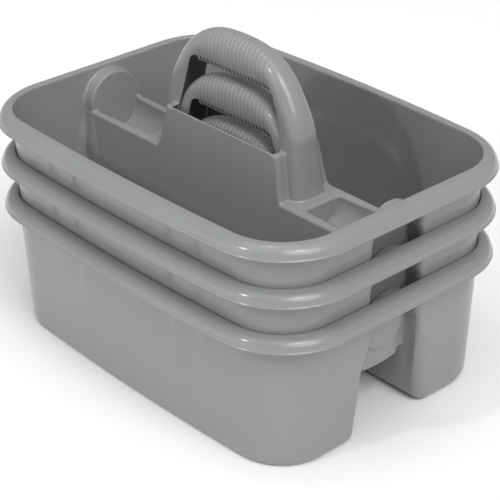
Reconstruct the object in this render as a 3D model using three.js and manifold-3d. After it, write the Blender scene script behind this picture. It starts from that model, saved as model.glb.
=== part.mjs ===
// Three identical two-bin cleaning caddies, nested one in another.
// Millimetres, +Z up. Origin: middle of the footprint, on the plane the bottom caddy stands on.
// X runs along the caddies' long side and along their carrying handles, Y across them.
import * as THREE from 'three';
import { mergeVertices } from 'three/addons/utils/BufferGeometryUtils.js';
import Module from 'manifold-3d';

const wasm = await Module();
wasm.setup();

// ---- driving dimensions -------------------------------------------------------------------------

const CADDIES = ['bottom', 'middle', 'top'];
const NEST_PITCH = 47; // how much higher each nested caddy sits than the one below it
const LENGTH = 467;
const WIDTH = 344;
const RIM_TOP = 152;
const GAP = 0.3; // clearance between neighbouring sub-parts
const SMALL = 1; // how far a cutting tool runs past the face it cuts
// Straight stretches in a bowed side, a quarter of a corner, a nose's rounding, a rod and the handle's outline.
const STEPS = { side: 4, corner: 3, smallCorner: 2, nose: 2, rod: 20, handle: 22 };

const RIM = { radius: 83, bow: 5, drop: 14, nose: 12.5, gauge: 2.2 };
const WALL = { inset: 17.1, radius: 61, bow: 4, gauge: 2, draft: 2.85 };
const TUNNEL = { halfWidth: 30.5, draft: 5.9, gauge: 2.5, cornerRadius: 12 };
const DIVIDER_TOP = 110.8; // top of the bins' inner walls, and of the shelf round the handle
const FLOOR = 2.5;

const POCKET = {
  partition: 115.2, // from the middle to the partition beside the handle
  radius: 25,
  outerRadius: 28,
  axisZ: 108,
  gauge: 2.5,
};
// Round-topped recess over each tunnel end.
const PORTAL = { radius: 34, axisZ: 115, gauge: 2.2, inner: 196.4 };
// Leaning panel that closes each tunnel end; face is its distance from the middle at the portal's top,
// and inner is where the blocks that it is cut from begin.
const PANEL = { face: 203, inner: 192, draft: 3.3, bottom: 62, tabHalfWidth: 21, shoulder: 74, gauge: 2.2 };

const PLATE = { top: 156.6, halfTop: 82, halfBottom: 89, gauge: 3, cornerRadius: 5 };
const SHELF_LIP = { length: 3, rise: SMALL }; // joins the shelf to the walls that close the plates' ends
const BOW = { gauge: 2.2, round: 13, widthFoot: 20.6, widthCrown: 14, taperTop: 208 };
const GRIP_HALF = 51; // half of the ribbed stretch of the handle

// Half of the handle's outer outline in the XZ plane, from the shelf up to the crown.
const BOW_OUTER = [[103.6, DIVIDER_TOP], [97.3, 160], [89.5, 190], [73.5, 217.5], [47, 240], [20, 247.3]];
const BOW_CROWN = 248;
const BOW_FOOT = DIVIDER_TOP - 2 * BOW.round; // the blocks that shape the handle start this low
// Half of the hand opening's outline, from the shelf up to the underside of the grip.
const OPENING = [[80, DIVIDER_TOP], [74, 157], [66.5, 189], [61, 205]];
const OPENING_TOP = 211;
const OPENING_CORNER = 8;
const OPENING_BULGE = 1; // how far inside the side's top point the corner's control point lies

const PLASTIC = { color: 0x8f9190, roughness: 0.42, metalness: 0 };

const slope = (degrees) => Math.tan(THREE.MathUtils.degToRad(degrees));
const RIM_BOTTOM = RIM_TOP - RIM.drop;

// ---- solids -------------------------------------------------------------------------------------

function solid(geometry) {
  geometry.deleteAttribute('normal');
  geometry.deleteAttribute('uv');
  const merged = mergeVertices(geometry, 1e-4);
  return new wasm.Manifold(new wasm.Mesh({
    numProp: 3,
    vertProperties: new Float32Array(merged.attributes.position.array),
    triVerts: new Uint32Array(merged.index.array),
  }));
}

function geometryOf(body) {
  const mesh = body.getMesh();
  const geometry = new THREE.BufferGeometry();
  geometry.setAttribute('position', new THREE.BufferAttribute(mesh.vertProperties, 3));
  geometry.setIndex(new THREE.BufferAttribute(mesh.triVerts, 1));
  return geometry;
}

const union = (...bodies) => bodies.reduce((a, b) => a.add(b));
const minus = (body, ...tools) => tools.reduce((a, b) => a.subtract(b), body);

function boxGeometry(x0, x1, y0, y1, z0, z1) {
  const geometry = new THREE.BoxGeometry(x1 - x0, y1 - y0, z1 - z0);
  return geometry.translate((x0 + x1) / 2, (y0 + y1) / 2, (z0 + z1) / 2);
}

const box = (...limits) => solid(boxGeometry(...limits));

function rodGeometry(radius, x0, x1, z) {
  const geometry = new THREE.CylinderGeometry(radius, radius, x1 - x0, STEPS.rod);
  return geometry.rotateZ(Math.PI / 2).translate((x0 + x1) / 2, 0, z);
}

const rod = (...sizes) => solid(rodGeometry(...sizes));

// Moves every vertex of a geometry by a rule that gives its new place.
function reshape(geometry, rule) {
  const position = geometry.attributes.position;
  for (let i = 0; i < position.count; i += 1) {
    position.setXYZ(i, ...rule(position.getX(i), position.getY(i), position.getZ(i)));
  }
  return geometry;
}

// ---- outlines -----------------------------------------------------------------------------------

// Draws a long side that bows outwards in the middle, from x = -half to x = half times direction.
function bowedSide(shape, half, outermost, bow, direction) {
  for (let step = 1; step <= STEPS.side; step += 1) {
    const share = (2 * step) / STEPS.side - 1;
    shape.lineTo(direction * share * half, outermost - Math.sign(outermost) * bow * share * share);
  }
}

// A rounded rectangle whose long sides bow outwards in the middle.
function bowedOutline(halfLength, halfWidth, radius, bow) {
  const side = halfWidth - bow;
  const shape = new THREE.Shape();
  shape.moveTo(-halfLength + radius, -side);
  bowedSide(shape, halfLength - radius, -halfWidth, bow, 1);
  shape.absarc(halfLength - radius, -side + radius, radius, -Math.PI / 2, 0);
  shape.lineTo(halfLength, side - radius);
  shape.absarc(halfLength - radius, side - radius, radius, 0, Math.PI / 2);
  bowedSide(shape, halfLength - radius, halfWidth, bow, -1);
  shape.absarc(-halfLength + radius, side - radius, radius, Math.PI / 2, Math.PI);
  shape.lineTo(-halfLength, -side + radius);
  shape.absarc(-halfLength + radius, -side + radius, radius, Math.PI, Math.PI * 1.5);
  return shape;
}

// One bin from above: large corners on the outside, small ones beside the tunnel.
function binOutline(halfLength, inner, outer, outerRadius, innerRadius, bow) {
  const side = outer - bow;
  const shape = new THREE.Shape();
  shape.moveTo(-halfLength + innerRadius, inner);
  shape.lineTo(halfLength - innerRadius, inner);
  shape.absarc(halfLength - innerRadius, inner + innerRadius, innerRadius, -Math.PI / 2, 0);
  shape.lineTo(halfLength, side - outerRadius);
  shape.absarc(halfLength - outerRadius, side - outerRadius, outerRadius, 0, Math.PI / 2);
  bowedSide(shape, halfLength - outerRadius, outer, bow, -1);
  shape.absarc(-halfLength + outerRadius, side - outerRadius, outerRadius, Math.PI / 2, Math.PI);
  shape.lineTo(-halfLength, inner + innerRadius);
  shape.absarc(-halfLength + innerRadius, inner + innerRadius, innerRadius, Math.PI, Math.PI * 1.5);
  return shape;
}

// ---- the walls' draft ---------------------------------------------------------------------------

// Wall and tunnel faces at height z; skin is how far inside the wall's outer face.
const halfLengthAt = (z, skin) => LENGTH / 2 - WALL.inset - (RIM_BOTTOM - z) * slope(WALL.draft) - skin;
const halfWidthAt = (z, skin) => WIDTH / 2 - WALL.inset - (RIM_BOTTOM - z) * slope(WALL.draft) - skin;
const tunnelAt = (z) => TUNNEL.halfWidth + (DIVIDER_TOP - z) * slope(TUNNEL.draft);

function prism(shape, z0, z1, curveSegments) {
  const geometry = new THREE.ExtrudeGeometry(shape, { depth: z1 - z0, bevelEnabled: false, curveSegments });
  geometry.translate(0, 0, z0);
  return geometry;
}

// The whole perimeter as a drafted block.
function perimeter(z0, z1, skin) {
  const halfLength = halfLengthAt(RIM_BOTTOM, skin);
  const halfWidth = halfWidthAt(RIM_BOTTOM, skin);
  const shape = bowedOutline(halfLength, halfWidth, WALL.radius - skin, WALL.bow);
  return solid(reshape(prism(shape, z0, z1, STEPS.corner), (x, y, z) => [
    (x * halfLengthAt(z, skin)) / halfLength,
    (y * halfWidthAt(z, skin)) / halfWidth,
    z,
  ]));
}

// One bin's space as a drafted block, on the +Y side.
function binBlock(z0, z1, skin, tunnelSkin) {
  const halfLength = halfLengthAt(RIM_BOTTOM, skin);
  const outer = halfWidthAt(RIM_BOTTOM, skin);
  const inner = tunnelAt(RIM_BOTTOM) + tunnelSkin;
  const corner = TUNNEL.cornerRadius - skin;
  const shape = binOutline(halfLength, inner, outer, WALL.radius - skin, corner, WALL.bow);
  return solid(reshape(prism(shape, z0, z1, STEPS.corner), (x, y, z) => {
    const besideTunnel = y < WALL.radius;
    return [
      (x * halfLengthAt(z, skin)) / halfLength,
      besideTunnel ? y + tunnelAt(z) - tunnelAt(RIM_BOTTOM) : (y * halfWidthAt(z, skin)) / outer,
      z,
    ];
  }));
}

// ---- sub-parts of one caddy ---------------------------------------------------------------------

function bin() {
  const tub = binBlock(0, DIVIDER_TOP, 0, 0);
  return minus(tub, binBlock(FLOOR, DIVIDER_TOP + SMALL, WALL.gauge, TUNNEL.gauge));
}

// A full-size block whose top edge is rounded all round, as the rim's nose is.
function noseBlock(skin) {
  const nose = RIM.nose - skin;
  const outline = bowedOutline(LENGTH / 2 - skin, WIDTH / 2 - skin, RIM.radius - skin, RIM.bow);
  const geometry = new THREE.ExtrudeGeometry(outline, {
    depth: RIM.drop,
    bevelThickness: nose,
    bevelSize: nose,
    bevelOffset: -nose,
    bevelSegments: STEPS.nose,
    curveSegments: STEPS.corner,
  });
  geometry.translate(0, 0, RIM_TOP - skin - nose - RIM.drop);
  return solid(geometry);
}

// Portal: the round-topped space at each end of the tunnel, as a cutting tool.
function portal(radius, side) {
  const outer = LENGTH / 2 - WALL.inset + SMALL;
  const x0 = side > 0 ? PORTAL.inner : -outer;
  const x1 = side > 0 ? outer : -PORTAL.inner;
  return union(
    rod(radius, x0, x1, PORTAL.axisZ),
    box(x0, x1, -radius, radius, DIVIDER_TOP - SMALL, PORTAL.axisZ),
  );
}

function rim() {
  const wallOuter = perimeter(DIVIDER_TOP + GAP, RIM_TOP, 0);
  const cavity = perimeter(DIVIDER_TOP - SMALL, RIM_TOP + SMALL, WALL.gauge);
  const below = box(-LENGTH, LENGTH, -WIDTH, WIDTH, -LENGTH, RIM_BOTTOM);
  const flange = minus(noseBlock(0), below);
  const underside = minus(noseBlock(RIM.gauge), wallOuter);
  const walled = union(minus(flange, underside), wallOuter);
  return minus(walled, cavity, portal(PORTAL.radius, 1), portal(PORTAL.radius, -1));
}

// The end panel's outer face at height z; depth is how far behind that face.
const panelAt = (z, depth) => PANEL.face - (PORTAL.axisZ + PORTAL.radius - z) * slope(PANEL.draft) - depth;

// A rod or box along X from x0 to the leaning panel.
const LEANING_END = 1000;
function leaning(geometry, depth) {
  return solid(reshape(geometry, (x, y, z) => [x > LEANING_END / 2 ? panelAt(z, depth) : x, y, z]));
}
const leaningRod = (radius, x0, z, depth) => leaning(rodGeometry(radius, x0, LEANING_END, z), depth);
function leaningBox(x0, half, z0, z1, depth) {
  return leaning(boxGeometry(x0, LEANING_END, -half, half, z0, z1), depth);
}

function pocket() {
  const { partition, radius, outerRadius, axisZ, gauge } = POCKET;
  const ledgeHalf = TUNNEL.halfWidth - GAP;
  const arch = PORTAL.radius - GAP;
  const partitionFace = partition - gauge;
  const farEnd = halfLengthAt(PORTAL.axisZ, WALL.gauge / 2);
  const trough = union(
    leaningRod(outerRadius, partitionFace, axisZ, 0),
    leaningBox(partitionFace, ledgeHalf, DIVIDER_TOP - gauge, DIVIDER_TOP, 0),
  );
  const belowHood = box(0, LENGTH, -WIDTH, WIDTH, 0, DIVIDER_TOP + GAP);
  const panel = minus(union(
    leaningBox(PANEL.inner, PANEL.tabHalfWidth, PANEL.bottom, axisZ, 0),
    leaningBox(PANEL.inner, ledgeHalf, PANEL.shoulder, PORTAL.axisZ, 0),
    minus(leaningRod(arch, PANEL.inner, PORTAL.axisZ, 0), belowHood),
  ), leaningBox(0, LENGTH, 0, LENGTH, PANEL.gauge));
  const hood = minus(
    union(
      rod(arch, PANEL.inner, farEnd, PORTAL.axisZ),
      box(PANEL.inner, farEnd, -arch, arch, DIVIDER_TOP + GAP, PORTAL.axisZ),
    ),
    rod(arch - PORTAL.gauge, PANEL.inner, LENGTH, PORTAL.axisZ),
    box(PANEL.inner, LENGTH, -arch + PORTAL.gauge, arch - PORTAL.gauge, 0, PORTAL.axisZ),
    belowHood,
    leaningBox(0, LENGTH, 0, LENGTH, PANEL.gauge),
  );
  const hollow = union(
    leaningRod(radius, partition, axisZ, PANEL.gauge),
    leaningBox(partition, radius, axisZ, LENGTH, PANEL.gauge),
  );
  const aboveLedge = leaningBox(0, LENGTH, DIVIDER_TOP, LENGTH, PANEL.gauge);
  return minus(union(trough, panel, hood), hollow, aboveLedge);
}

// Half-width of the handle across Y at height z.
function bowWidthAt(z) {
  const share = Math.min(1, Math.max(0, (z - DIVIDER_TOP) / (BOW.taperTop - DIVIDER_TOP)));
  return THREE.MathUtils.lerp(BOW.widthFoot, BOW.widthCrown, share);
}

const mirrored = (half, middle) => [
  ...half.map(([x, z]) => new THREE.Vector2(x, z)),
  ...middle.map(([x, z]) => new THREE.Vector2(x, z)),
  ...half.map(([x, z]) => new THREE.Vector2(-x, z)).reverse(),
];

// The handle's outline filled in, rounded across Y; skin shrinks it on every side.
function bowBlock(skin, foot) {
  const curve = new THREE.SplineCurve(mirrored(BOW_OUTER, [[0, BOW_CROWN]]));
  const middle = new THREE.Vector2(0, DIVIDER_TOP);
  const points = curve.getPoints(STEPS.handle).map((p) => {
    const inward = middle.clone().sub(p).normalize().multiplyScalar(skin);
    return new THREE.Vector2(p.x + inward.x, p.y + (p.y > BOW_OUTER[1][1] ? inward.y : 0));
  });
  const outline = [new THREE.Vector2(points[0].x, foot), ...points, new THREE.Vector2(points.at(-1).x, foot)];
  const round = BOW.round - skin;
  const widest = BOW.widthFoot;
  const geometry = new THREE.ExtrudeGeometry(new THREE.Shape(outline), {
    depth: 2 * (widest - round),
    bevelThickness: round,
    bevelSize: round,
    bevelOffset: -round,
    bevelSegments: STEPS.nose,
  });
  geometry.translate(0, 0, -(widest - round));
  geometry.rotateX(Math.PI / 2);
  return solid(reshape(geometry, (x, y, z) => [x, (y / widest) * (bowWidthAt(z) - skin), z]));
}

// The hand opening between the plates and the grip, cut right through across Y.
function handOpening() {
  const side = OPENING.map(([x, z]) => new THREE.Vector2(x, z));
  const [cornerX, cornerZ] = OPENING.at(-1);
  const shape = new THREE.Shape();
  shape.moveTo(OPENING[0][0], DIVIDER_TOP - BOW.round);
  side.forEach((p) => shape.lineTo(p.x, p.y));
  shape.quadraticCurveTo(cornerX - OPENING_BULGE, OPENING_TOP, cornerX - OPENING_CORNER, OPENING_TOP);
  shape.lineTo(-cornerX + OPENING_CORNER, OPENING_TOP);
  shape.quadraticCurveTo(-cornerX + OPENING_BULGE, OPENING_TOP, -cornerX, cornerZ);
  side.reverse().forEach((p) => shape.lineTo(-p.x, p.y));
  shape.lineTo(-OPENING[0][0], DIVIDER_TOP - BOW.round);
  const settings = { depth: WIDTH, bevelEnabled: false, curveSegments: STEPS.corner };
  const geometry = new THREE.ExtrudeGeometry(shape, settings);
  geometry.translate(0, 0, -WIDTH / 2);
  geometry.rotateX(Math.PI / 2);
  return solid(geometry);
}

function handle() {
  const shell = minus(bowBlock(0, BOW_FOOT), bowBlock(BOW.gauge, BOW_FOOT - SMALL));
  const below = box(-LENGTH, LENGTH, -WIDTH, WIDTH, 0, DIVIDER_TOP);
  const whole = minus(shell, handOpening(), below);
  const gripZone = box(-GRIP_HALF, GRIP_HALF, -WIDTH, WIDTH, DIVIDER_TOP, LENGTH);
  const gripGap = box(-GRIP_HALF - GAP, GRIP_HALF + GAP, -WIDTH, WIDTH, DIVIDER_TOP, LENGTH);
  const legs = minus(whole, gripGap);
  return {
    grip: whole.intersect(gripZone),
    leftLeg: legs.intersect(box(-LENGTH, 0, -WIDTH, WIDTH, 0, LENGTH)),
    rightLeg: legs.intersect(box(0, LENGTH, -WIDTH, WIDTH, 0, LENGTH)),
  };
}

// Raised walls either side of the handle, the walls that close their ends, and the shelf round its feet.
function handleBase() {
  const faceAt = (z) => TUNNEL.halfWidth + TUNNEL.gauge - (z - DIVIDER_TOP) * slope(TUNNEL.draft);
  const height = PLATE.top - DIVIDER_TOP - GAP;
  const outline = bowedOutline(PLATE.halfBottom, faceAt(DIVIDER_TOP), PLATE.cornerRadius, 0);
  const block = (skin, z0, z1) => solid(reshape(prism(outline, z0, z1, STEPS.smallCorner), (x, y, z) => {
    const share = (z - DIVIDER_TOP) / height;
    const half = THREE.MathUtils.lerp(PLATE.halfBottom, PLATE.halfTop, share);
    return [
      (x * (half - skin)) / PLATE.halfBottom,
      (y * (faceAt(z) - skin)) / faceAt(DIVIDER_TOP),
      z,
    ];
  }));
  const walls = minus(
    block(0, DIVIDER_TOP + GAP, PLATE.top),
    block(PLATE.gauge, DIVIDER_TOP - SMALL, PLATE.top + SMALL),
  );
  const shelfHalf = TUNNEL.halfWidth - GAP;
  const shelfLow = DIVIDER_TOP - TUNNEL.gauge;
  const shelfEnd = POCKET.partition - POCKET.gauge - GAP;
  const reach = PLATE.halfBottom - PLATE.gauge;
  const slab = (x0, x1, top) => box(Math.min(x0, x1), Math.max(x0, x1), -shelfHalf, shelfHalf, shelfLow, top);
  const shelf = (side) => union(
    slab(side * reach, side * shelfEnd, DIVIDER_TOP),
    slab(side * reach, side * (reach + SHELF_LIP.length), DIVIDER_TOP + SHELF_LIP.rise),
  );
  const clearance = bowBlock(-GAP, BOW_FOOT);
  const footHole = bowBlock(BOW.gauge + GAP, BOW_FOOT);
  const aboveShelf = box(-LENGTH, LENGTH, -WIDTH, WIDTH, DIVIDER_TOP - GAP, LENGTH);
  return minus(union(walls, shelf(1), shelf(-1)), clearance.intersect(aboveShelf), footHole);
}

// ---- the nest -----------------------------------------------------------------------------------

function mesh(name, body, turn, height) {
  const geometry = geometryOf(body);
  const part = new THREE.Mesh(geometry, new THREE.MeshStandardMaterial(PLASTIC));
  part.name = name;
  part.rotation.z = turn;
  part.position.z = height;
  return part;
}

const binBody = bin();
const rimBody = rim();
const pocketBody = pocket();
const baseBody = handleBase();
const handleBodies = handle();

const nest = new THREE.Group();
CADDIES.forEach((name, level) => {
  const height = level * NEST_PITCH;
  nest.add(
    mesh(`${name}_rim`, rimBody, 0, height),
    mesh(`${name}_front_bin`, binBody, Math.PI, height),
    mesh(`${name}_rear_bin`, binBody, 0, height),
    mesh(`${name}_right_pocket`, pocketBody, 0, height),
    mesh(`${name}_left_pocket`, pocketBody, Math.PI, height),
    mesh(`${name}_handle_base`, baseBody, 0, height),
    mesh(`${name}_left_handle_leg`, handleBodies.leftLeg, 0, height),
    mesh(`${name}_right_handle_leg`, handleBodies.rightLeg, 0, height),
    mesh(`${name}_grip`, handleBodies.grip, 0, height),
  );
});

export default nest;
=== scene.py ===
import math

import bpy
import numpy as np
from mathutils import Matrix, Vector


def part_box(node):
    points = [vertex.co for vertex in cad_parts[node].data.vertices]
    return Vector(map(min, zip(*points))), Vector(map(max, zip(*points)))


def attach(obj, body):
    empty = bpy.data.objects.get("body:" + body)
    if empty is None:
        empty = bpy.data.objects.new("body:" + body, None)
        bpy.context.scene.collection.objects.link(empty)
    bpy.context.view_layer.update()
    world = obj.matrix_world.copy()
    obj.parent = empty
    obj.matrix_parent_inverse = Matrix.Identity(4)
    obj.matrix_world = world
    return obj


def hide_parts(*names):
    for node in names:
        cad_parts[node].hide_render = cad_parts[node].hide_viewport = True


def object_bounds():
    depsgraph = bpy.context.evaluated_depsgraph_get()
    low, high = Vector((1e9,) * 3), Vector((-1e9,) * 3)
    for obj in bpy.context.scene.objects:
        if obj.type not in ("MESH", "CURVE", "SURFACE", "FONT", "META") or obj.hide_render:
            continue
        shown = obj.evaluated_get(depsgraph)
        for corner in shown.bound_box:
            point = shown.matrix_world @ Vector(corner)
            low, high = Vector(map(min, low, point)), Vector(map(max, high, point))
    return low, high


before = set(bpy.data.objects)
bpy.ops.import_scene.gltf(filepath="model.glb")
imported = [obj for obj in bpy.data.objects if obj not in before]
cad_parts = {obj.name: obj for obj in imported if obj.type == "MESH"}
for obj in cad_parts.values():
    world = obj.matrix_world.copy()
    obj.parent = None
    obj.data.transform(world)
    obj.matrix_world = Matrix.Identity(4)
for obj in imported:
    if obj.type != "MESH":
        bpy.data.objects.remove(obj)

cad_low, cad_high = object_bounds()

# Three nested cleaning caddies. Each one is a single thin moulding, described here by the distance to
# its upper skin. Everything below that skin is thought of as solid, and the plastic is the thin layer
# just under it. One quarter is meshed and mirrored, and the three caddies share the mesh.
# Metres, +Z up, X along the handle. Heights are above the base of the caddy itself.

MM = 0.001

# ---- sizes taken from the frame -------------------------------------------------------------------

HALF_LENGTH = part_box("bottom_rim")[1].x
HALF_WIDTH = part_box("bottom_rim")[1].y
RIM_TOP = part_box("bottom_rim")[1].z
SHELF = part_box("bottom_rear_bin")[1].z  # top of the walls beside the tunnel
PLATE_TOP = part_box("bottom_handle_base")[1].z
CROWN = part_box("bottom_grip")[1].z
GRIP_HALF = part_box("bottom_grip")[1].x
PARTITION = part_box("bottom_right_pocket")[0].x + 2.5 * MM  # the pocket's end beside the handle
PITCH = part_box("middle_rim")[1].z - RIM_TOP
CADDIES = ("bottom", "middle", "top")

# ---- the moulding's own dimensions ----------------------------------------------------------------

GAUGE = 2.0 * MM
RIM_DROP = 14 * MM
RIM_BOTTOM = RIM_TOP - RIM_DROP
RIM_RADIUS = 83 * MM
RIM_NOSE = 12.5 * MM
RIM_BOW = 5 * MM
RIM_EDGE = 2.2 * MM  # rounding of the rim's inner edge
RIM_LIP = 1 * MM  # how far the rim's lower edge stands out
RIM_LIP_RADIUS = 1.3 * MM
RIM_LIP_RISE = 0.8 * RIM_LIP_RADIUS  # from the rim's lower edge to the middle of the lip
RIM_LIP_FILLET = 0.6 * MM

WALL_INSET = 17.1 * MM
WALL_RADIUS = 61 * MM
WALL_BOW = 4 * MM
WALL_DRAFT = math.radians(2.85)
BOW_EASE = 0.06  # how gently a bowed side runs into its corners
CURTAIN_GAP = 1 * MM  # the upper skin is cut away further than this outside the wall, under the rim
FLOOR_FILLET = 7 * MM

RIDGE_HALF = 33 * MM  # half-width of the walls and shelf over the tunnel, at the shelf
RIDGE_DRAFT = math.radians(5.9)
RIDGE_EDGE = 2.6 * MM
RIDGE_CORNER = 12 * MM  # vertical fillet where a tunnel wall meets the end wall
RIDGE_CORNER_FROM = SHELF - 36 * MM  # that fillet shrinks from this height
RIDGE_CORNER_TO = SHELF - 1 * MM  # to this one

PLATE_HALF_TOP = 82 * MM
PLATE_HALF_FOOT = 90.5 * MM
PLATE_EDGE = 1.0 * MM
PLATE_CORNER = 4.5 * MM
PLATE_CORNER_FROM = PLATE_HALF_TOP - 14 * MM  # the plate's edge gets rounder from here
PLATE_CORNER_TO = PLATE_HALF_TOP - 3 * MM  # to here
PLATE_EDGE_TO = SHELF + 12 * MM  # the shelf's edge turns into the plate's up to this height
PLATE_FOOT_FILLET = 2.5 * MM

TROUGH_Z = 108 * MM
TROUGH_INNER = 22 * MM  # radius beside the handle
TROUGH_OUTER = 26 * MM  # radius at the end panel
TROUGH_EDGE = 2.4 * MM
TROUGH_EDGE_FROM = 0.2 * MM  # the rounding fades out between these distances from the end panel
TROUGH_EDGE_TO = 5 * MM
TROUGH_END_EDGE = 1.2 * MM

PORTAL_Z = 113.5 * MM
PORTAL_RADIUS = 33 * MM
PORTAL_FILLET = 5 * MM
PORTAL_TOP_FILLET = 2.5 * MM
PORTAL_FILLET_TO = PORTAL_Z + PORTAL_RADIUS - 4 * MM  # the fillet has shrunk to the top one here
HOOD_EDGE = 1.6 * MM
PANEL_FACE = 203 * MM  # outer face of the end panel, at PANEL_TOP
PANEL_TOP = 149 * MM
PANEL_DRAFT = math.radians(3.3)
WEB_SET_BACK = 5 * MM  # the web under the pocket lies this far behind the panel
WEB_BOTTOM = 58.5 * MM
WEB_SHOULDER = 68 * MM
WEB_TAB_HALF = 26.5 * MM
WEB_RISE = 2.5 * MM  # how much higher the tab's lower edge is at its ends
WEB_CORNER = 3 * MM

LEG_DEPTH = 14 * MM  # how deep the rounded back of the handle is
GRIP_DEPTH = 19.5 * MM
GRIP_DEPTH_TO = 30 * MM  # the grip's depth turns into the legs' between these distances from the middle
LEG_DEPTH_FROM = 70 * MM
LEG_HALF_FOOT = 20.6 * MM
LEG_HALF_CROWN = 14.3 * MM
LEG_TAPER_TOP = 208 * MM
LEG_FILLET = 2.2 * MM
ARCH_Z = 157 * MM  # the handle's legs are straight below this
ARCH_FOOT = 103.6 * MM
ARCH_SHOULDER = 97.4 * MM
ARCH_BLEND_FROM = ARCH_Z - 4 * MM
ARCH_BLEND_TO = ARCH_Z + 20 * MM
ARCH_REACH = 94.8 * MM  # mean distance from the arch's middle, before it is fitted to the crown
ARCH_WAVES = (1.9 * MM, -0.6 * MM, 1.3 * MM)  # by how much it varies along the arch, in whole waves
ARCH_AT_CROWN = ARCH_REACH - ARCH_WAVES[0] + ARCH_WAVES[1] - ARCH_WAVES[2]
BACK_POWER = 2.7  # how square the back of the handle's section is
CURL_FOOT = 30 * MM  # how gently the handle's walls curl in at its feet
CURL_TOP = 15 * MM
CURL_FOOT_TO = 152 * MM  # between these heights the curl at the feet turns into the one at the top
CURL_TOP_FROM = 200 * MM
CURL_GRIP = 26 * MM
CURL_START = 229 * MM  # the grip's walls curl in below this
CURL_GRIP_TO = 46 * MM  # between these distances from the middle the grip's curl turns into the legs'
CURL_LEG_FROM = 62 * MM
CURL_MOST = 0.93
FREE_EDGE = 0.95 * MM  # rounding of the thin walls' cut edges

OPENING_TOP = 214.5 * MM
OPENING_CORNER = 6.5 * MM
OPENING_HALF_FOOT = 80 * MM  # half-width at the shelf
OPENING_LEAN = 0.0608  # how its sides close in, by a share of the height
OPENING_BEND = 0.001496 / MM  # and of its square

FLUTES = 19
FLUTE_DEPTH = 0.7 * MM
FLUTE_FADE_FROM = GRIP_HALF - 3 * MM
FLUTE_FADE_TO = GRIP_HALF - 1 * MM
SLOT_HALF = 1.35 * MM
SLOT_TOP = 215.3 * MM
SLOT_EDGE = 0.3 * MM
COMB_EXTRA = 2 * MM  # how much thicker the grip's walls are at the comb
COMB_TOP = SLOT_TOP + 8 * MM  # the walls are no thicker from here up
COMB_HALF = 50 * MM
COMB_BOTTOM = 208.8 * MM  # the teeth between the slots end here
GRIP_LAP = 1.3 * MM  # how far the grip's mesh laps over the legs
PROUD = 0.08 * MM  # how far the grip's mesh stands out from the legs
GRIP_FLOOR = 203 * MM  # nothing of the grip is lower than this

# ---- how finely it is meshed -----------------------------------------------------------------------

TRAY_STEP = 1.05 * MM
TRAY_KEEP = 0.075  # share of the faces that is left after thinning out
TRAY_START = -0.5 * MM
GRIP_STEP = 0.55 * MM
GRIP_KEEP = 0.5
GRIP_START = GRIP_FLOOR + 2 * MM
MARGIN = 1 * MM
SETTLE_PROBE = 0.05 * MM
SETTLE_LEAST_SLOPE = 0.5
SETTLE_REACH = 0.6  # a point moves by no more than this share of a step
NORMAL_PROBE = 0.25 * MM
SEAM_SNAP = 0.3  # a point within this share of a step of a mirror plane is put on it
SEAM_MERGE = 0.02 * MM

# ---- finish ------------------------------------------------------------------------------------------

DARK_GREY = (0.240, 0.249, 0.248)
LIGHT_GREY = (0.257, 0.266, 0.265)
DARK_FLOOR = (0.90, 0.90, 0.90)
LIGHT_FLOOR = (0.92, 0.92, 0.92)
PLASTIC_IOR = 1.49
CLOUD_SCALE = 14
GLOSS_SCALE = 30
FLOOR_CLOUD_SCALE = 1.5
NOISE_ROUGHNESS = 0.4
NOISE_LOW = 0.2  # nearly all of a noise lies between these two
NOISE_HIGH = 0.8
GRAIN_STRENGTH = 0.25
GRAIN_DEPTH = 0.04 * MM
FLOOR_HALF = 60
FLOOR_GAP = 0.1 * MM


# ---- distances --------------------------------------------------------------------------------------

def meet(a, b, radius):
    """Where two solids overlap, with the edge between them rounded off."""
    corner = np.hypot(np.maximum(a + radius, 0), np.maximum(b + radius, 0))
    return np.minimum(-radius, np.maximum(a, b)) + corner


def join(a, b, radius):
    """Two solids together, with a fillet in the corner between them."""
    corner = np.hypot(np.maximum(radius - a, 0), np.maximum(radius - b, 0))
    return np.maximum(radius, np.minimum(a, b)) - corner


def smooth_step(value, low, high):
    share = np.clip((value - low) / (high - low), 0, 1)
    return share * share * (3 - 2 * share)


def outline(x, y, half_length, half_width, radius, bow):
    """Distance to a rounded rectangle whose long sides bow outwards in the middle."""
    left = 1 - (x / (half_length - radius)) ** 2
    bowed = (left + np.hypot(left, BOW_EASE)) / 2
    dx = x - (half_length - radius)
    dy = y - (half_width - bow * (1 - bowed) - radius)
    inside = np.minimum(np.maximum(dx, dy), 0)
    return inside + np.hypot(np.maximum(dx, 0), np.maximum(dy, 0)) - radius


def cavity(x, y, z):
    """The inside of the drafted outer wall."""
    inset = WALL_INSET + GAUGE
    top = outline(x, y, HALF_LENGTH - inset, HALF_WIDTH - inset, WALL_RADIUS - GAUGE, WALL_BOW)
    return (top + (RIM_BOTTOM - z) * math.tan(WALL_DRAFT)) * math.cos(WALL_DRAFT)


def rim_block(x, y, z):
    """The rim's outside: a bull nose with a small lip round its lower edge."""
    edge = outline(x, y, HALF_LENGTH, HALF_WIDTH, RIM_RADIUS, RIM_BOW)
    nose = meet(edge + RIM_LIP, z - RIM_TOP, RIM_NOSE)
    lip = np.hypot(edge + RIM_LIP_RADIUS, z - RIM_BOTTOM - RIM_LIP_RISE) - RIM_LIP_RADIUS
    return join(nose, lip, RIM_LIP_FILLET)


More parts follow.
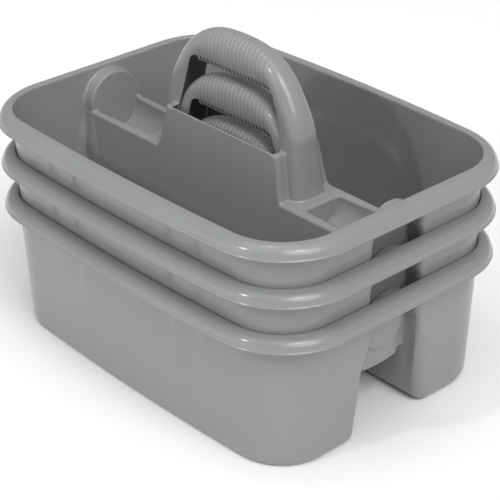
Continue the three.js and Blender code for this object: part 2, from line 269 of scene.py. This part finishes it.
def ridge(x, y, z):
    """The walls and the shelf over the tunnel, with the raised plates either side of the handle."""
    face = (y - RIDGE_HALF + (z - SHELF) * math.tan(RIDGE_DRAFT)) * math.cos(RIDGE_DRAFT)
    share = (z - SHELF) / (PLATE_TOP - SHELF)
    end = x - (PLATE_HALF_FOOT + (PLATE_HALF_TOP - PLATE_HALF_FOOT) * share)
    plates = meet(end, z - PLATE_TOP, PLATE_EDGE)
    height = join(z - SHELF, plates, PLATE_FOOT_FILLET)
    at_end = smooth_step(x, PLATE_CORNER_FROM, PLATE_CORNER_TO)
    plate_edge = PLATE_EDGE + (PLATE_CORNER - PLATE_EDGE) * at_end
    raised = smooth_step(z, SHELF, PLATE_EDGE_TO)
    return meet(face, height, RIDGE_EDGE + (plate_edge - RIDGE_EDGE) * raised)


def panel(x, z):
    """Distance in front of the end panel's inner face, towards the middle of the tray."""
    face = PANEL_FACE - (PANEL_TOP - z) * math.tan(PANEL_DRAFT) - GAUGE
    return (face - x) * math.cos(PANEL_DRAFT)


def hood(x, y, z):
    """The round-topped cover over the end of the tunnel, seen from inside the tray."""
    round_top = np.hypot(y, np.maximum(z - PORTAL_Z, 0)) - PORTAL_RADIUS
    return meet(round_top, panel(x, z), HOOD_EDGE)


def trough(x, y, z):
    """The hollow of a pocket, half round and a little wider towards the end panel."""
    share = np.clip((x - PARTITION) / (PANEL_FACE - PARTITION), 0, 1)
    radius = TROUGH_INNER + (TROUGH_OUTER - TROUGH_INNER) * share
    pipe = np.hypot(y, np.minimum(z - TROUGH_Z, 0)) - radius
    ends = np.maximum(PARTITION - x, -panel(x, z))
    return meet(pipe, ends, TROUGH_END_EDGE)


def arch(x, z):
    """Distance to the handle's outer outline seen from the side."""
    lean = (ARCH_FOOT - ARCH_SHOULDER) / (ARCH_Z - SHELF)
    straight = (x - ARCH_SHOULDER + (z - ARCH_Z) * lean) / math.hypot(1, lean)
    turn = 2 * np.arctan2(np.maximum(z - ARCH_Z, 0), np.maximum(x, 1e-6))
    reach = ARCH_REACH + sum(wave * np.cos((rank + 1) * turn) for rank, wave in enumerate(ARCH_WAVES))
    curved = np.hypot(x, z - ARCH_Z) - reach * (CROWN - PROUD - ARCH_Z) / ARCH_AT_CROWN
    return straight + (curved - straight) * smooth_step(z, ARCH_BLEND_FROM, ARCH_BLEND_TO)


def handle(x, y, z):
    """The handle filled in. Its back is a squarish half-oval, and its walls curl in towards the hand."""
    share = np.clip((z - SHELF) / (LEG_TAPER_TOP - SHELF), 0, 1)
    half = LEG_HALF_FOOT + (LEG_HALF_CROWN - LEG_HALF_FOOT) * share
    at_grip = 1 - smooth_step(x, GRIP_DEPTH_TO, LEG_DEPTH_FROM)
    depth = LEG_DEPTH + (GRIP_DEPTH - LEG_DEPTH) * at_grip
    inward = -arch(x, z)
    reach = CURL_FOOT + (CURL_TOP - CURL_FOOT) * smooth_step(z, CURL_FOOT_TO, CURL_TOP_FROM)
    leg_curl = np.maximum(inward - depth, 0) / reach
    grip_curl = np.maximum(CURL_START - z, 0) / CURL_GRIP
    curl = grip_curl + (leg_curl - grip_curl) * smooth_step(x, CURL_GRIP_TO, CURL_LEG_FROM)
    half = half * np.sqrt(1 - np.minimum(curl, CURL_MOST) ** 2)
    along = np.maximum(depth - inward, 0) / depth
    across = y / half
    level = np.maximum(along ** BACK_POWER + across ** BACK_POWER, 1e-9) ** (1 / BACK_POWER)
    slope = np.hypot(along ** (BACK_POWER - 1) / depth, across ** (BACK_POWER - 1) / half)
    return (level - 1) * level ** (BACK_POWER - 1) / np.maximum(slope, 1)


def opening(x, z):
    """The hand opening's outline seen from the side."""
    rise = z - SHELF
    side = OPENING_HALF_FOOT - OPENING_LEAN * rise - OPENING_BEND * rise ** 2
    return meet(x - side, z - OPENING_TOP, OPENING_CORNER)


def skin(x, y, z):
    """Distance to everything of the tray under the moulding's upper skin."""
    tray = join(-cavity(x, y, z), z - GAUGE, FLOOR_FILLET)
    upper = smooth_step(z, PORTAL_Z, PORTAL_FILLET_TO)
    fillet = PORTAL_FILLET + (PORTAL_TOP_FILLET - PORTAL_FILLET) * upper
    tray = join(tray, hood(x, y, z), fillet)
    tray = meet(tray, rim_block(x, y, z), RIM_EDGE)
    top = smooth_step(z, RIDGE_CORNER_FROM, RIDGE_CORNER_TO)
    fillet = RIDGE_CORNER + (PORTAL_TOP_FILLET - RIDGE_CORNER) * top
    tray = join(tray, ridge(x, y, z), fillet)
    edge = TROUGH_EDGE * smooth_step(panel(x, z), TROUGH_EDGE_FROM, TROUGH_EDGE_TO)
    return meet(tray, -trough(x, y, z), edge)


def web(x, y, z):
    """The thin wall that closes the tunnel under each pocket."""
    ahead = -panel(x, z) - GAUGE + WEB_SET_BACK
    slab = np.abs(ahead + GAUGE / 2) - GAUGE / 2
    bottom = WEB_BOTTOM + WEB_RISE * (y / WEB_TAB_HALF) ** 2
    tab = meet(y - WEB_TAB_HALF, bottom - z, WEB_CORNER)
    tunnel = y - (RIDGE_HALF - GAUGE / 2 + (SHELF - z) * math.tan(RIDGE_DRAFT))
    wide = np.maximum(tunnel, WEB_SHOULDER - z)
    shape = np.maximum(join(tab, wide, WEB_CORNER), z - TROUGH_Z)
    return meet(slab, np.maximum(shape, -trough(x, y, z)), FREE_EDGE)


def handle_shell(x, y, z):
    """The handle's own walls, which go on down between the plates."""
    filled = handle(x, y, z)
    inside = np.maximum(filled, -filled - GAUGE)
    return meet(inside, -opening(x, z), FREE_EDGE)


def plastic(x, y, z):
    """Distance to the plastic itself, without the ribbed grip.

    The throat opens the shelf between the plates, for the handle of the caddy nested below, and the
    curtain is the part of the skin that would hang from the rim's lower edge.
    """
    under = opening(x, z)
    whole = join(skin(x, y, z), handle(x, y, z), LEG_FILLET)
    shell = np.maximum(whole, -whole - GAUGE)
    plates_inside = RIDGE_HALF - GAUGE - (z - SHELF) * math.tan(RIDGE_DRAFT)
    throat = np.maximum(np.maximum(y - plates_inside, z - PLATE_TOP - GAUGE), under)
    shell = meet(shell, -throat, FREE_EDGE)
    shell = meet(shell, -np.maximum(under, PLATE_TOP - z), FREE_EDGE)
    legs = np.maximum(handle_shell(x, y, z), SHELF - GAUGE - z)
    curtain = np.maximum(z - RIM_BOTTOM, GAUGE + CURTAIN_GAP - cavity(x, y, z))
    shell = meet(shell, -curtain, FREE_EDGE)
    shell = np.minimum(np.minimum(shell, legs), web(x, y, z))
    grip = np.maximum(x - GRIP_HALF, GRIP_FLOOR - z)
    return np.maximum(np.maximum(shell, -grip), -z)


def ribbed(x, y, z):
    """Distance to the grip: an open channel, ribbed all round, with a comb of slots up each lower edge."""
    pitch = 2 * GRIP_HALF / FLUTES
    fade = 1 - smooth_step(x, FLUTE_FADE_FROM, FLUTE_FADE_TO)
    filled = handle(x, y, z) - PROUD
    ribs = filled + FLUTE_DEPTH * fade * (1 - np.abs(np.cos(math.pi * x / pitch)))
    gauge = GAUGE + COMB_EXTRA * (1 - smooth_step(z, SLOT_TOP, COMB_TOP))
    shell = np.maximum(ribs, -filled - gauge)
    bottom = np.minimum(OPENING_TOP - z, np.maximum(COMB_BOTTOM - z, x - COMB_HALF))
    shell = meet(shell, bottom, FREE_EDGE)
    nearest = np.abs(np.mod(x, pitch) - pitch / 2)
    slot = np.hypot(nearest, np.maximum(z - SLOT_TOP + SLOT_HALF, 0)) - SLOT_HALF
    slot = np.maximum(slot, x - GRIP_HALF + pitch / 2)
    shell = meet(shell, -slot, SLOT_EDGE)
    return np.maximum(shell, x - GRIP_HALF - GRIP_LAP)


# ---- meshing ----------------------------------------------------------------------------------------

def crossed_cells(inside, cells):
    """Which cells of the grid have corners on both sides of the surface."""
    total = np.zeros(cells, np.int8)
    for dx in (0, 1):
        for dy in (0, 1):
            for dz in (0, 1):
                total += inside[dx:dx + cells[0], dy:dy + cells[1], dz:dz + cells[2]]
    return (total > 0) & (total < 8)


def cell_points(grid, where):
    """One point for each cell, the mean of where the surface crosses its edges, in grid steps."""
    sums = np.zeros((len(where), 3))
    hits = np.zeros(len(where))
    for axis in range(3):
        others = [i for i in range(3) if i != axis]
        for a in (0, 1):
            for b in (0, 1):
                start = where.copy()
                start[:, others[0]] += a
                start[:, others[1]] += b
                end = start.copy()
                end[:, axis] += 1
                v0 = grid[tuple(start.T)]
                v1 = grid[tuple(end.T)]
                crossed = (v0 < 0) != (v1 < 0)
                share = np.where(crossed, v0 / np.where(crossed, v0 - v1, 1), 0)
                point = start.astype(float)
                point[:, axis] += share
                sums[crossed] += point[crossed]
                hits += crossed
    return sums / hits[:, None]


def cell_quads(inside, index, axis):
    """A quad round each grid edge along one axis that the surface crosses, facing outwards."""
    u, v = [i for i in range(3) if i != axis]
    first = [slice(1, -1)] * 3
    second = [slice(1, -1)] * 3
    first[axis] = slice(0, -1)
    second[axis] = slice(1, None)
    a, b = inside[tuple(first)], inside[tuple(second)]
    change = np.argwhere(a != b)
    outward = a[tuple(change.T)]
    corner = change.copy()
    corner[:, u] += 1
    corner[:, v] += 1
    around = []
    for du, dv in ((-1, -1), (0, -1), (0, 0), (-1, 0)):
        cell = corner.copy()
        cell[:, u] += du
        cell[:, v] += dv
        around.append(index[tuple(cell.T)])
    quad = np.stack(around, 1)
    flip = outward if axis == 1 else ~outward
    quad[flip] = quad[flip][:, ::-1]
    return quad


def surface_net(field, low, counts, step):
    """Vertices and quads of the zero surface of a field, one vertex in each cell it passes through."""
    axes = [low[i] + step * np.arange(counts[i]) for i in range(3)]
    grid = field(axes[0][:, None, None], axes[1][None, :, None], axes[2][None, None, :])
    grid = np.broadcast_to(grid, counts).astype(np.float32)
    inside = grid < 0
    cells = tuple(n - 1 for n in counts)
    active = crossed_cells(inside, cells)
    where = np.argwhere(active)
    index = np.full(cells, -1, np.int64)
    index[active] = np.arange(len(where))
    points = cell_points(grid, where) * step + np.array(low)
    return points, np.concatenate([cell_quads(inside, index, axis) for axis in range(3)])


def slope_at(field, points, probe):
    """The field's slope at each point."""
    slope = np.empty_like(points)
    for axis in range(3):
        ahead, behind = points.copy(), points.copy()
        ahead[:, axis] += probe
        behind[:, axis] -= probe
        slope[:, axis] = field(*ahead.T) - field(*behind.T)
    return slope / (2 * probe)


def settle(field, points, step, rounds=3):
    """Moves points onto the zero surface along its slope."""
    home = points.copy()
    for _ in range(rounds):
        value = field(points[:, 0], points[:, 1], points[:, 2])
        slope = slope_at(field, points, SETTLE_PROBE)
        size = np.maximum((slope ** 2).sum(1), SETTLE_LEAST_SLOPE ** 2)
        points = points - slope * (value / size)[:, None]
        moved = points - home
        length = np.maximum(np.linalg.norm(moved, axis=1), 1e-12)
        points = home + moved * np.minimum(1, SETTLE_REACH * step / length)[:, None]
    return points


def quarter(folded, low, high, step):
    """The quarter of a symmetric shape at +X and +Y, as points and quads."""
    start = (-step / 2, -step / 2, low - step)
    counts = [int((high[i] - start[i]) / step) + 3 for i in range(3)]
    points, quads = surface_net(folded, start, counts, step)
    return settle(folded, points, step), quads


def mesh_object(name, points, quads):
    mesh = bpy.data.meshes.new(name)
    mesh.from_pydata(points.tolist(), [], quads.tolist())
    mesh.update()
    made = bpy.data.objects.new(name, mesh)
    bpy.context.scene.collection.objects.link(made)
    return made


def applied(made):
    """The object's mesh with its modifiers applied."""
    graph = bpy.context.evaluated_depsgraph_get()
    mesh = bpy.data.meshes.new_from_object(made.evaluated_get(graph))
    made.modifiers.clear()
    made.data = mesh
    return mesh


def places(mesh):
    """The places of a mesh's vertices, one row each."""
    flat = np.empty(len(mesh.vertices) * 3)
    mesh.vertices.foreach_get("co", flat)
    return flat.reshape(-1, 3)


def whole(name, field, low, high, step, keep):
    """The full mesh of a symmetric shape: one quarter meshed, thinned out and mirrored.

    Its normals come from the field's own slope, so that thinning out doesn't show in the shading.
    """

    def folded(x, y, z):
        return field(np.abs(x), np.abs(y), z)

    points, quads = quarter(folded, low, high, step)
    made = mesh_object(name, points, quads)
    thin = made.modifiers.new("thin", "DECIMATE")
    thin.ratio = keep
    mesh = applied(made)
    co = places(mesh)
    for axis in (0, 1):
        co[np.abs(co[:, axis]) < SEAM_SNAP * step, axis] = 0
    mesh.vertices.foreach_set("co", co.ravel())
    mesh.shade_smooth()
    mirror = made.modifiers.new("mirror", "MIRROR")
    mirror.use_axis = (True, True, False)
    mirror.merge_threshold = SEAM_MERGE
    mesh = applied(made)
    bpy.data.objects.remove(made)
    slope = slope_at(folded, places(mesh), NORMAL_PROBE)
    slope /= np.maximum(np.linalg.norm(slope, axis=1), 1e-9)[:, None]
    mesh.normals_split_custom_set_from_vertices(slope.tolist())
    return mesh


# ---- materials --------------------------------------------------------------------------------------

def node_material(name):
    made = bpy.data.materials.new(name)
    made.use_nodes = True
    return made, made.node_tree.nodes, made.node_tree.links


def noise_node(nodes, links, coordinates, scale, detail):
    noise = nodes.new("ShaderNodeTexNoise")
    noise.inputs["Scale"].default_value = scale
    noise.inputs["Detail"].default_value = detail
    noise.inputs["Roughness"].default_value = NOISE_ROUGHNESS
    links.new(coordinates.outputs["Object"], noise.inputs["Vector"])
    return noise


def spread(nodes, links, source, low, high):
    """Maps a noise onto a range of numbers."""
    made = nodes.new("ShaderNodeMapRange")
    made.inputs["From Min"].default_value = NOISE_LOW
    made.inputs["From Max"].default_value = NOISE_HIGH
    made.inputs["To Min"].default_value = low
    made.inputs["To Max"].default_value = high
    links.new(source.outputs["Fac"], made.inputs["Value"])
    return made


def blended(nodes, links, share, first, second):
    made = nodes.new("ShaderNodeMix")
    made.data_type = "RGBA"
    made.inputs["A"].default_value = (*first, 1)
    made.inputs["B"].default_value = (*second, 1)
    links.new(share.outputs["Fac"], made.inputs["Factor"])
    return made


def satin_plastic(name, smooth, rough, grain):
    """Grey moulded plastic: cloudy pigment, an uneven satin gloss and a fine mould grain."""
    made, nodes, links = node_material(name)
    shader = nodes["Principled BSDF"]
    coordinates = nodes.new("ShaderNodeTexCoord")
    cloud = noise_node(nodes, links, coordinates, CLOUD_SCALE, detail=2)
    pigment = blended(nodes, links, cloud, DARK_GREY, LIGHT_GREY)
    links.new(pigment.outputs["Result"], shader.inputs["Base Color"])
    patches = noise_node(nodes, links, coordinates, GLOSS_SCALE, detail=2)
    gloss = spread(nodes, links, patches, smooth, rough)
    links.new(gloss.outputs["Result"], shader.inputs["Roughness"])
    texture = noise_node(nodes, links, coordinates, 1 / grain, detail=3)
    bump = nodes.new("ShaderNodeBump")
    bump.inputs["Strength"].default_value = GRAIN_STRENGTH
    bump.inputs["Distance"].default_value = GRAIN_DEPTH
    links.new(texture.outputs["Fac"], bump.inputs["Height"])
    links.new(bump.outputs["Normal"], shader.inputs["Normal"])
    shader.inputs["IOR"].default_value = PLASTIC_IOR
    return made


def floor_paint():
    """Matt white paint, just uneven enough not to be one flat colour."""
    made, nodes, links = node_material("floor_paint")
    shader = nodes["Principled BSDF"]
    coordinates = nodes.new("ShaderNodeTexCoord")
    cloud = noise_node(nodes, links, coordinates, FLOOR_CLOUD_SCALE, detail=3)
    paint = blended(nodes, links, cloud, DARK_FLOOR, LIGHT_FLOOR)
    links.new(paint.outputs["Result"], shader.inputs["Base Color"])
    shader.inputs["Roughness"].default_value = 0.9
    shader.inputs["Specular IOR Level"].default_value = 0.1
    return made


# ---- pieces -----------------------------------------------------------------------------------------

def placed(name, mesh, level, height, nodes):
    """One piece of a caddy, in place of the named nodes of that level."""
    made = bpy.data.objects.new(f"{level}_{name}", mesh)
    made.location.z = height
    bpy.context.scene.collection.objects.link(made)
    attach(made, level)
    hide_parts(*[f"{level}_{node}" for node in nodes])


tray_high = (HALF_LENGTH + MARGIN, HALF_WIDTH + MARGIN, CROWN + MARGIN)
grip_high = (GRIP_HALF + GRIP_LAP + MARGIN, LEG_HALF_CROWN + MARGIN, CROWN + MARGIN)
tray_mesh = whole("moulding", plastic, TRAY_START, tray_high, TRAY_STEP, TRAY_KEEP)
grip_mesh = whole("ribbed_grip", ribbed, GRIP_START, grip_high, GRIP_STEP, GRIP_KEEP)
tray_mesh.materials.append(satin_plastic("satin_grey", smooth=0.16, rough=0.21, grain=0.35 * MM))
grip_mesh.materials.append(satin_plastic("grip_grey", smooth=0.32, rough=0.40, grain=0.28 * MM))

MOULDED = ("rim", "front_bin", "rear_bin", "left_pocket", "right_pocket",
           "handle_base", "left_handle_leg", "right_handle_leg")
for rank, level in enumerate(CADDIES):
    placed("moulding", tray_mesh, level, rank * PITCH, MOULDED)
    placed("ribbed_grip", grip_mesh, level, rank * PITCH, ("grip",))


# ---- floor, light and camera ------------------------------------------------------------------------

def lay_floor():
    mesh = bpy.data.meshes.new("floor")
    turns = ((-1, -1), (1, -1), (1, 1), (-1, 1))
    corners = [(x * FLOOR_HALF, y * FLOOR_HALF, cad_low.z - FLOOR_GAP) for x, y in turns]
    mesh.from_pydata(corners, [], [(0, 1, 2, 3)])
    mesh.materials.append(floor_paint())
    made = bpy.data.objects.new("floor", mesh)
    bpy.context.scene.collection.objects.link(made)


def aimed(name, lamp, place):
    """Puts a lamp in place, aimed at the middle of the caddies."""
    made = bpy.data.objects.new(name, lamp)
    made.location = place
    middle = (cad_low + cad_high) / 2
    made.rotation_euler = (Vector(place) - middle).to_track_quat("Z", "Y").to_euler()
    bpy.context.scene.collection.objects.link(made)


def broad_light(name, place, strength, spread):
    lamp = bpy.data.lights.new(name, "SUN")
    lamp.energy = strength
    lamp.angle = math.radians(spread)
    aimed(name, lamp, place)


def small_light(name, place, size, power):
    lamp = bpy.data.lights.new(name, "AREA")
    lamp.size = size
    lamp.energy = power
    aimed(name, lamp, place)


def surroundings(strength):
    world = bpy.data.worlds.new("studio")
    world.use_nodes = True
    world.node_tree.nodes["Background"].inputs["Color"].default_value = (1, 1, 1, 1)
    world.node_tree.nodes["Background"].inputs["Strength"].default_value = strength
    bpy.context.scene.world = world


def set_camera(azimuth, elevation, roll, target, distance, focal_length):
    """Looks at the target from that direction. Azimuth 0 is the front, angles are in degrees."""
    azimuth, elevation, roll = (math.radians(angle) for angle in (azimuth, elevation, roll))
    level = Vector((math.sin(azimuth), -math.cos(azimuth), 0))
    back = level * math.cos(elevation) + Vector((0, 0, math.sin(elevation)))
    right = Vector((0, 0, 1)).cross(back).normalized()
    up = back.cross(right)
    tilted_right = right * math.cos(roll) + up * math.sin(roll)
    tilted_up = up * math.cos(roll) - right * math.sin(roll)
    turn = Matrix((tilted_right, tilted_up, back)).transposed().to_4x4()
    lens = bpy.data.cameras.new("camera")
    lens.lens = focal_length
    made = bpy.data.objects.new("camera", lens)
    made.matrix_world = Matrix.Translation(target + back * distance) @ turn
    bpy.context.scene.collection.objects.link(made)
    bpy.context.scene.camera = made


lay_floor()
surroundings(strength=0.42)
broad_light("top", place=(0.3, -0.4, 3), strength=0.78, spread=60)
broad_light("front", place=(-1.0, -3.0, 0.5), strength=0.6, spread=45)
broad_light("side", place=(2.4, -0.55, 2.55), strength=1.55, spread=40)
small_light("glint", place=(-0.05, -1.5, 1.3), size=0.08, power=4.5)
small_light("second_glint", place=(0, -0.25, 1.9), size=0.25, power=1.3)
small_light("third_glint", place=(1.1, -0.4, 1.55), size=0.12, power=1.5)
set_camera(
    azimuth=48.05, elevation=29.16, roll=-0.51, target=Vector((75.24, -57.34, 158.79)) * MM,
    distance=1.6384, focal_length=123.08)
bpy.context.scene.view_settings.view_transform = "Standard"
